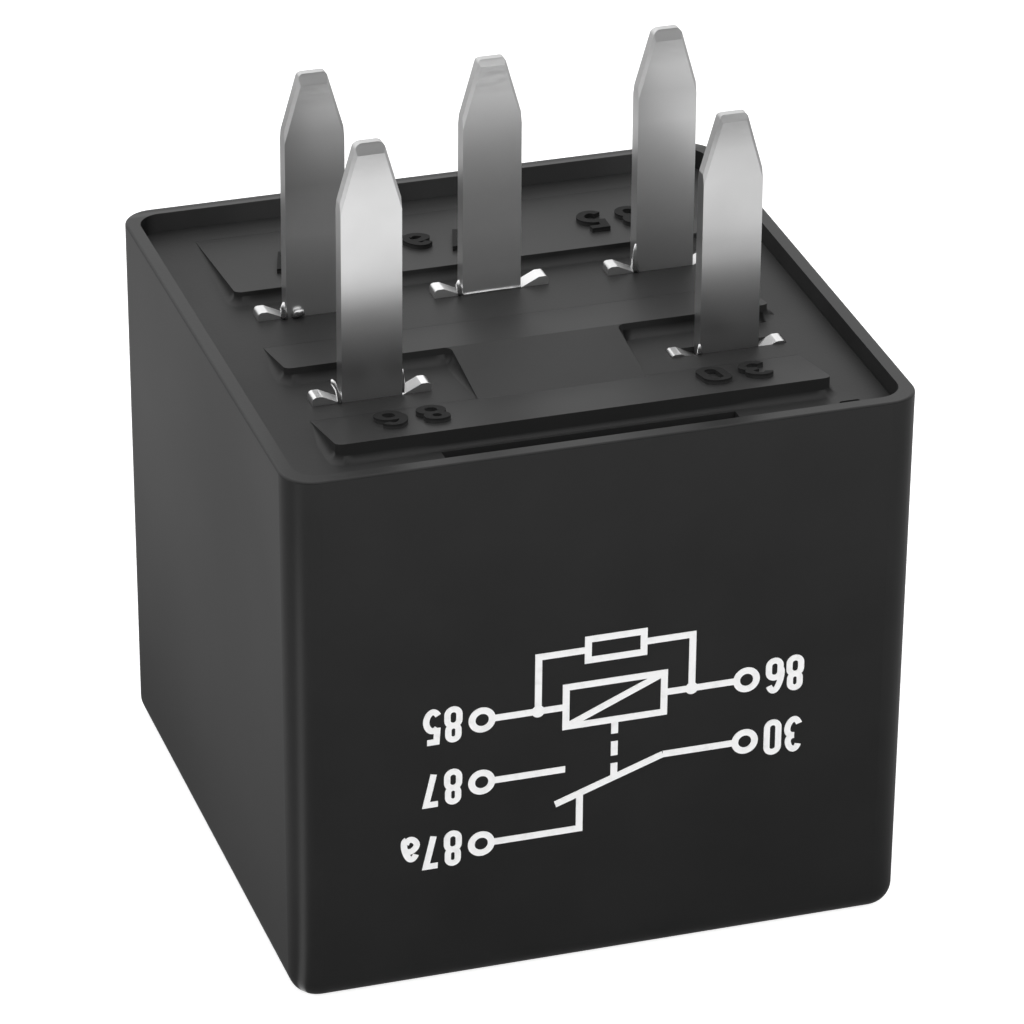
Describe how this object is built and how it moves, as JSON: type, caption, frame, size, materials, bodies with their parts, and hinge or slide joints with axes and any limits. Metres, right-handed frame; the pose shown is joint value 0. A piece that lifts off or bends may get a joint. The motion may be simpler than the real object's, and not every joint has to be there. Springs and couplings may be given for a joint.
{
  "type": "automotive changeover relay",
  "caption": "Sealed cube-shaped plug-in relay: black can, potted base with blade terminals, printed contact diagram, and the coil, armature and changeover contacts inside.",
  "frame": {"origin": "middle of the can's closed end, on the plane that it rests on", "axes": "+Z towards the blade tips, -Y towards the printed face, +X to the right of that face"},
  "size_m": [0.0292, 0.0292, 0.0378],
  "materials": {
    "can_plastic": "fine moulded, slightly satin",
    "white_print": "pad-printed ink",
    "base_plastic": "fine moulded, slightly satin",
    "compound": "cured epoxy, satin",
    "tinned_blade": "tin-plated brass",
    "contact_silver": "silver alloy",
    "magnet_iron": "nickel-plated soft iron",
    "bobbin_nylon": "natural nylon",
    "enamelled_copper": "enamelled copper wire",
    "solder": "tin solder",
    "resistor_ceramic": "lacquered",
    "leaf_bronze": "copper alloy strip",
    "spring_steel": "bright wire",
    "braid_copper": "plain copper braid"
  },
  "bodies": {
    "relay": {"cover": "can_plastic", "circuit_print": "white_print", "base": "base_plastic", "sealing_compound": "compound", "terminal_30": "tinned_blade", "terminal_85": "tinned_blade", "terminal_86": "tinned_blade", "terminal_87": "tinned_blade", "terminal_87a": "tinned_blade", "fixed_contact_87": "contact_silver", "fixed_contact_87a": "contact_silver", "yoke": "magnet_iron", "core": "magnet_iron", "bobbin": "bobbin_nylon", "coil_winding": "enamelled_copper", "coil_ends": "enamelled_copper", "solder_joints": "solder", "resistor": "resistor_ceramic", "resistor_leads": "solder", "return_spring": "spring_steel", "braid": "braid_copper"},
    "armature_set": {"armature": "magnet_iron", "contact_leaf": "leaf_bronze", "armature_rivets": "leaf_bronze", "moving_contact": "contact_silver"}
  },
  "joints": [
    {"name": "armature_pivot", "type": "hinge", "parent": "relay", "child": "armature_set", "pos_m": [0, -0.0106, 0.0074], "axis": [1, 0, 0], "range_deg": [0, 3], "stiffness_Nm_per_rad": 0.01, "springref_deg": -20.05, "deforming": ["return_spring", "braid"]}
  ]
}
